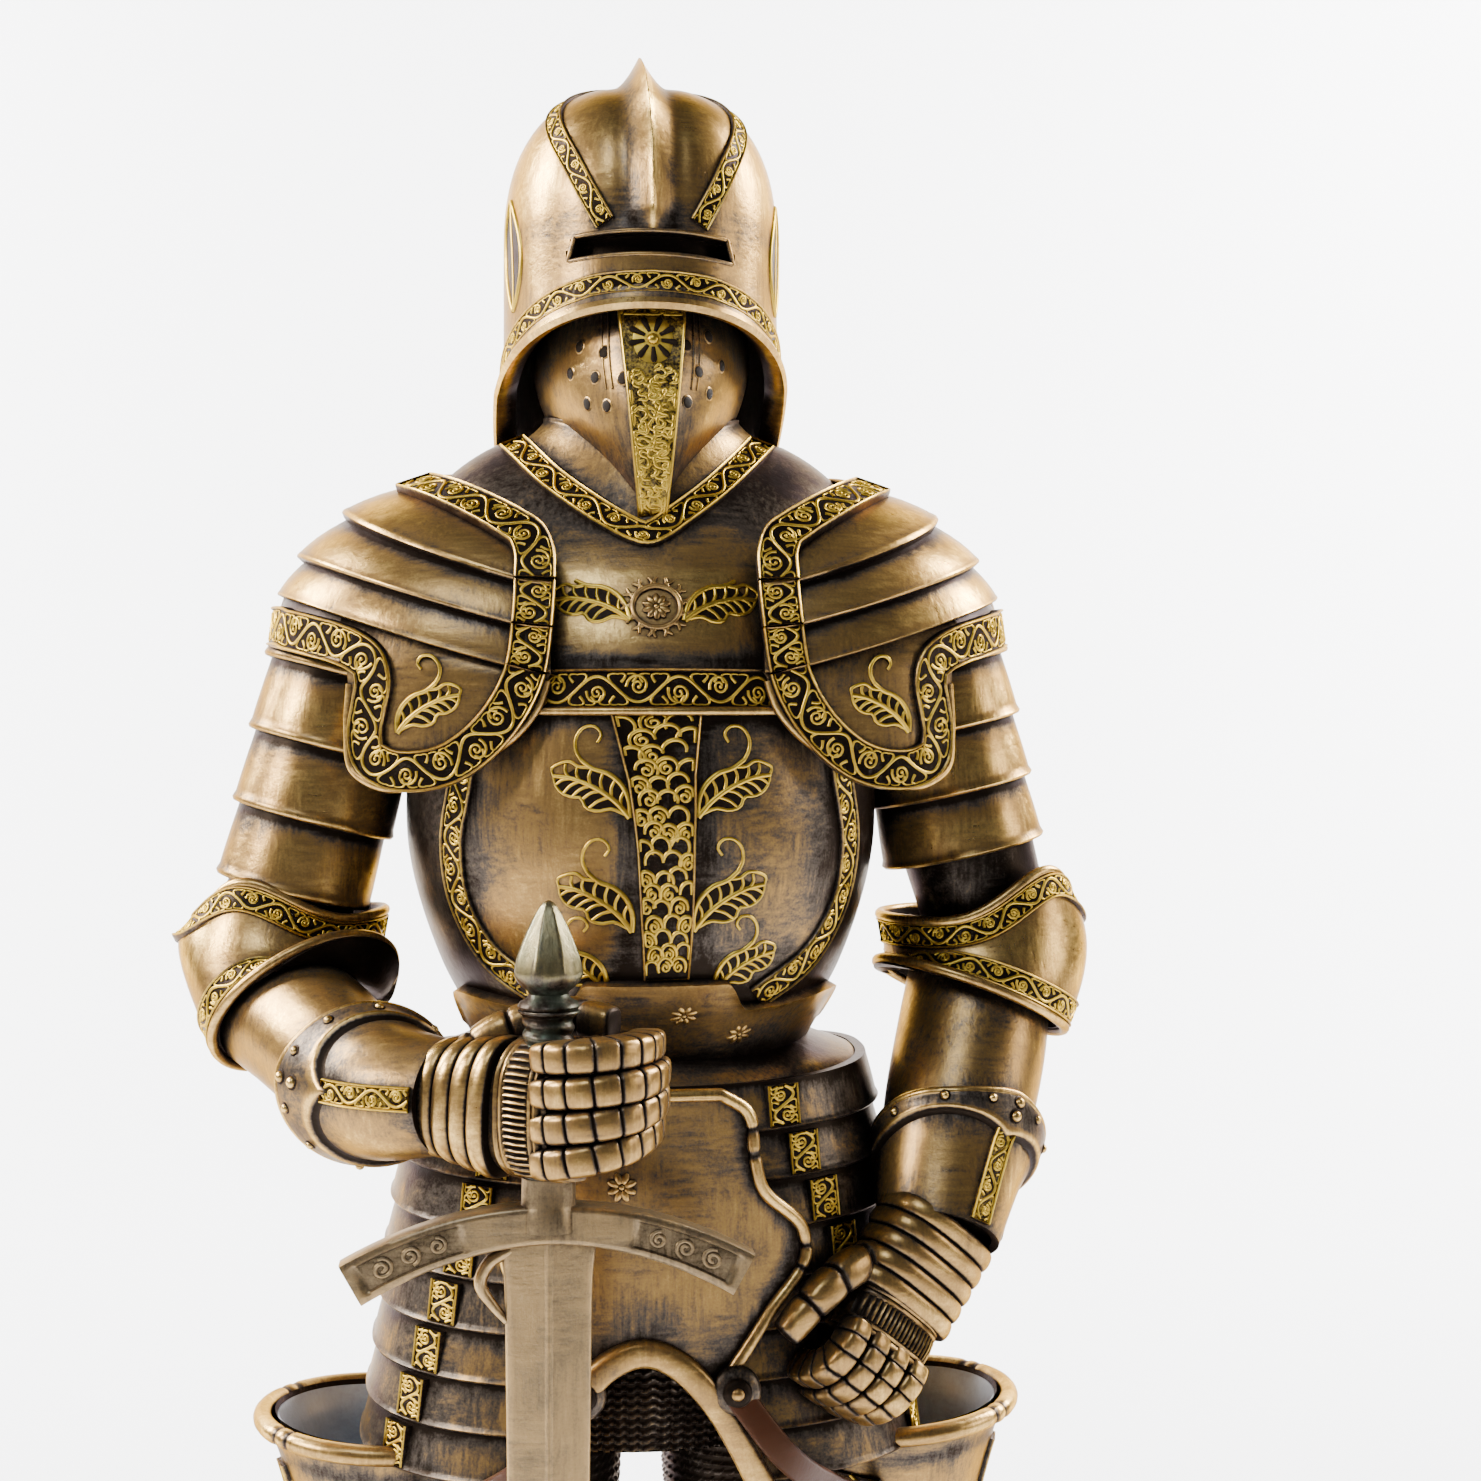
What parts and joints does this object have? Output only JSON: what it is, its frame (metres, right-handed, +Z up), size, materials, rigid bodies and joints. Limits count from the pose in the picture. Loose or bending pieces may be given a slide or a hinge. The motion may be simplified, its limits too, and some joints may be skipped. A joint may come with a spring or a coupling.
{
  "type": "medieval knight statue",
  "caption": "Standing knight in ornamented plate armour on a low stepped plinth, one fist on an upright sword, the other hand on the hip.",
  "frame": {"origin": "middle of the plinth's underside", "axes": "+Z up; the figure faces -Y, and its sword hand is towards -X"},
  "size_m": [0.164, 0.156, 0.4683],
  "materials": {
    "antique_bronze": "cold-cast resin, dark ground dry-brushed to a satin antique bronze, ornament picked out in yellow gilding",
    "pale_bronze": "cold-cast resin in a plain, paler satin bronze, with green-grey toning on grip and pommel",
    "dark_bronze": "cold-cast resin, dark bronze with edges dry-brushed lighter"
  },
  "bodies": {
    "root": {"knight": "antique_bronze", "sword": "pale_bronze", "plinth": "dark_bronze"}
  },
  "joints": []
}
